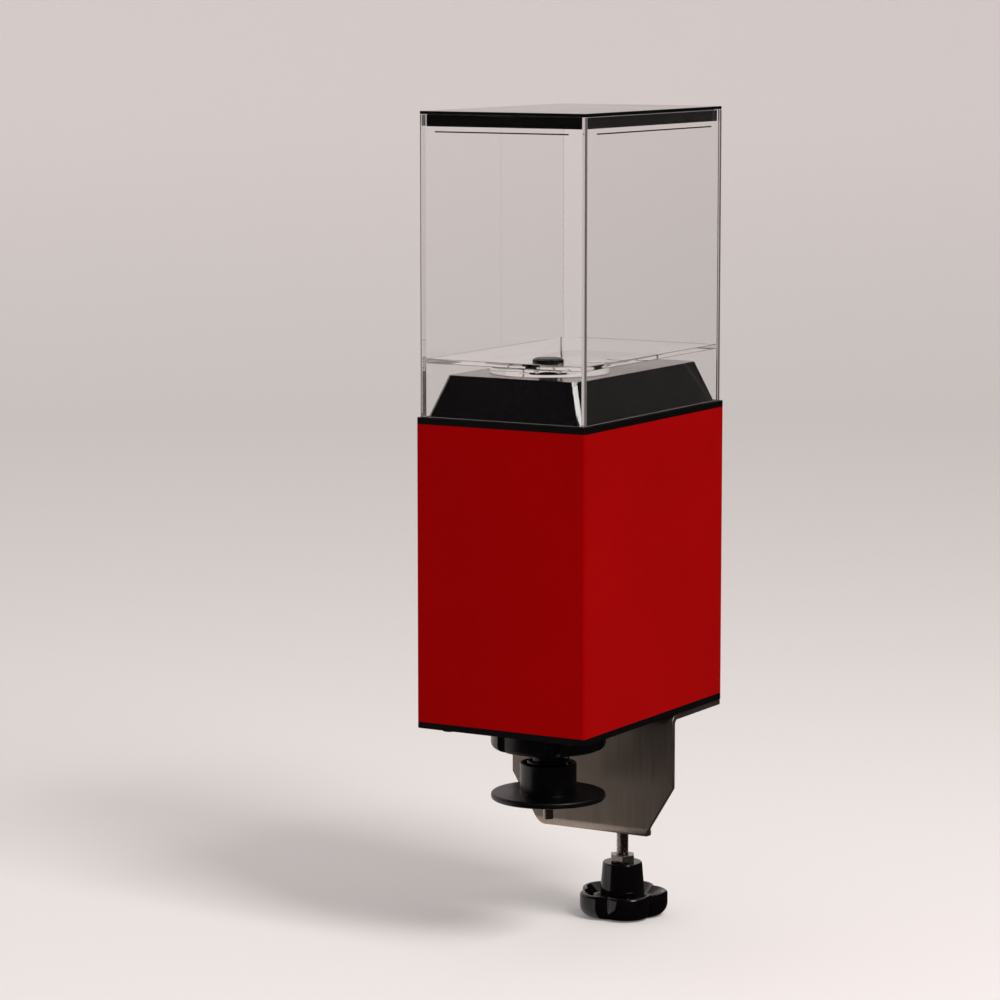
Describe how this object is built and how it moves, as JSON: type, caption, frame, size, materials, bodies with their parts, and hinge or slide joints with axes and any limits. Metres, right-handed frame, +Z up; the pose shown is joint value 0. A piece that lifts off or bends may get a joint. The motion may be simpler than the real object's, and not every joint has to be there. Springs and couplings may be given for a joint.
{
  "type": "table-clamp drink dispenser",
  "caption": "Hot drink dispenser with a clear lift-off tank on a painted metal body, a sprung push-up tap below and a screw clamp for a table edge.",
  "frame": {"origin": "on the clamp seat, the underside of the bracket's seat flange, on the clamp screw's axis", "axes": "+Z up, the front with the tap faces -Y, +X to the right seen from the front"},
  "size_m": [0.12, 0.1909, 0.5314],
  "materials": {
    "red_paint": "satin powder coat",
    "black_paint": "satin powder coat",
    "black_acrylic": "polished black sheet",
    "black_plastic": "turned black plastic",
    "knob_plastic": "glossy moulded plastic",
    "clear_acrylic": "clear polished sheet",
    "line_print": "printed line",
    "stainless": "brushed",
    "bright_steel": "zinc plated",
    "brass": "turned",
    "band_metal": "heat tinted",
    "jacket_felt": "felted fibre",
    "pale_plastic": "moulded",
    "silicone": "soft milky tube",
    "seal_rubber": "matt"
  },
  "bodies": {
    "base": {"body_shell": "red_paint", "top_plate": "black_paint", "base_plate": "black_paint", "corner_posts": "bright_steel", "plate_screws": "bright_steel", "front_base_screws": "black_paint", "deck": "black_acrylic", "vessel_stand": "bright_steel", "vessel": "stainless", "vessel_cover": "stainless", "heating_band": "band_metal", "insulating_jacket": "jacket_felt", "thermostat": "pale_plastic", "feed_tube": "silicone", "outlet_gasket": "seal_rubber", "valve_body": "black_plastic", "star_collar": "black_plastic", "return_spring": "bright_steel", "clamp_bracket": "stainless", "bracket_screws": "bright_steel", "threaded_bush": "bright_steel", "power_inlet": "black_plastic", "inlet_pins": "bright_steel", "switch_housing": "black_plastic"},
    "tank": {"tank_front_pane": "clear_acrylic", "tank_rear_pane": "clear_acrylic", "tank_left_pane": "clear_acrylic", "tank_right_pane": "clear_acrylic", "tank_floor": "clear_acrylic", "tank_outlet": "clear_acrylic", "outlet_ring": "seal_rubber", "strainer_cap": "black_plastic", "fill_lines": "line_print"},
    "lid": {"lid_plate": "black_acrylic", "lid_plug": "black_acrylic"},
    "push_head": {"push_disc": "black_plastic", "spout_tube": "stainless", "valve_poppet": "brass", "poppet_seal": "seal_rubber"},
    "pad": {"pad_foot": "bright_steel", "pad_rubber": "seal_rubber"},
    "screw": {"clamp_screw": "bright_steel", "lock_nut": "bright_steel", "clamp_knob": "knob_plastic"},
    "rocker": {"switch_rocker": "black_plastic"}
  },
  "joints": [
    {"name": "tank_lift", "type": "slide", "parent": "base", "child": "tank", "axis": [0, 0, 1], "range_m": [0, 0.06]},
    {"name": "lid_lift", "type": "slide", "parent": "tank", "child": "lid", "axis": [0, 0, 1], "range_m": [0, 0.05]},
    {"name": "tap_push", "type": "slide", "parent": "base", "child": "push_head", "axis": [0, 0, 1], "range_m": [0, 0.0095], "stiffness_N_per_m": 500, "springref_m": -0.008, "deforming": ["return_spring"]},
    {"name": "pad_travel", "type": "slide", "parent": "base", "child": "pad", "axis": [0, 0, 1], "range_m": [-0.0315, 0.02]},
    {"name": "screw_turn", "type": "hinge", "parent": "pad", "child": "screw", "pos_m": [0, 0, -0.035], "axis": [0, 0, 1], "range_deg": [-9060, 5750]},
    {"name": "switch_tip", "type": "hinge", "parent": "base", "child": "rocker", "pos_m": [0.02, 0.024, 0.05], "axis": [1, 0, 0], "range_deg": [-20, 0]}
  ],
  "couplings": [
    {"joint": "pad_travel", "follows": "screw_turn", "m_per_rad": 0.00019894}
  ]
}
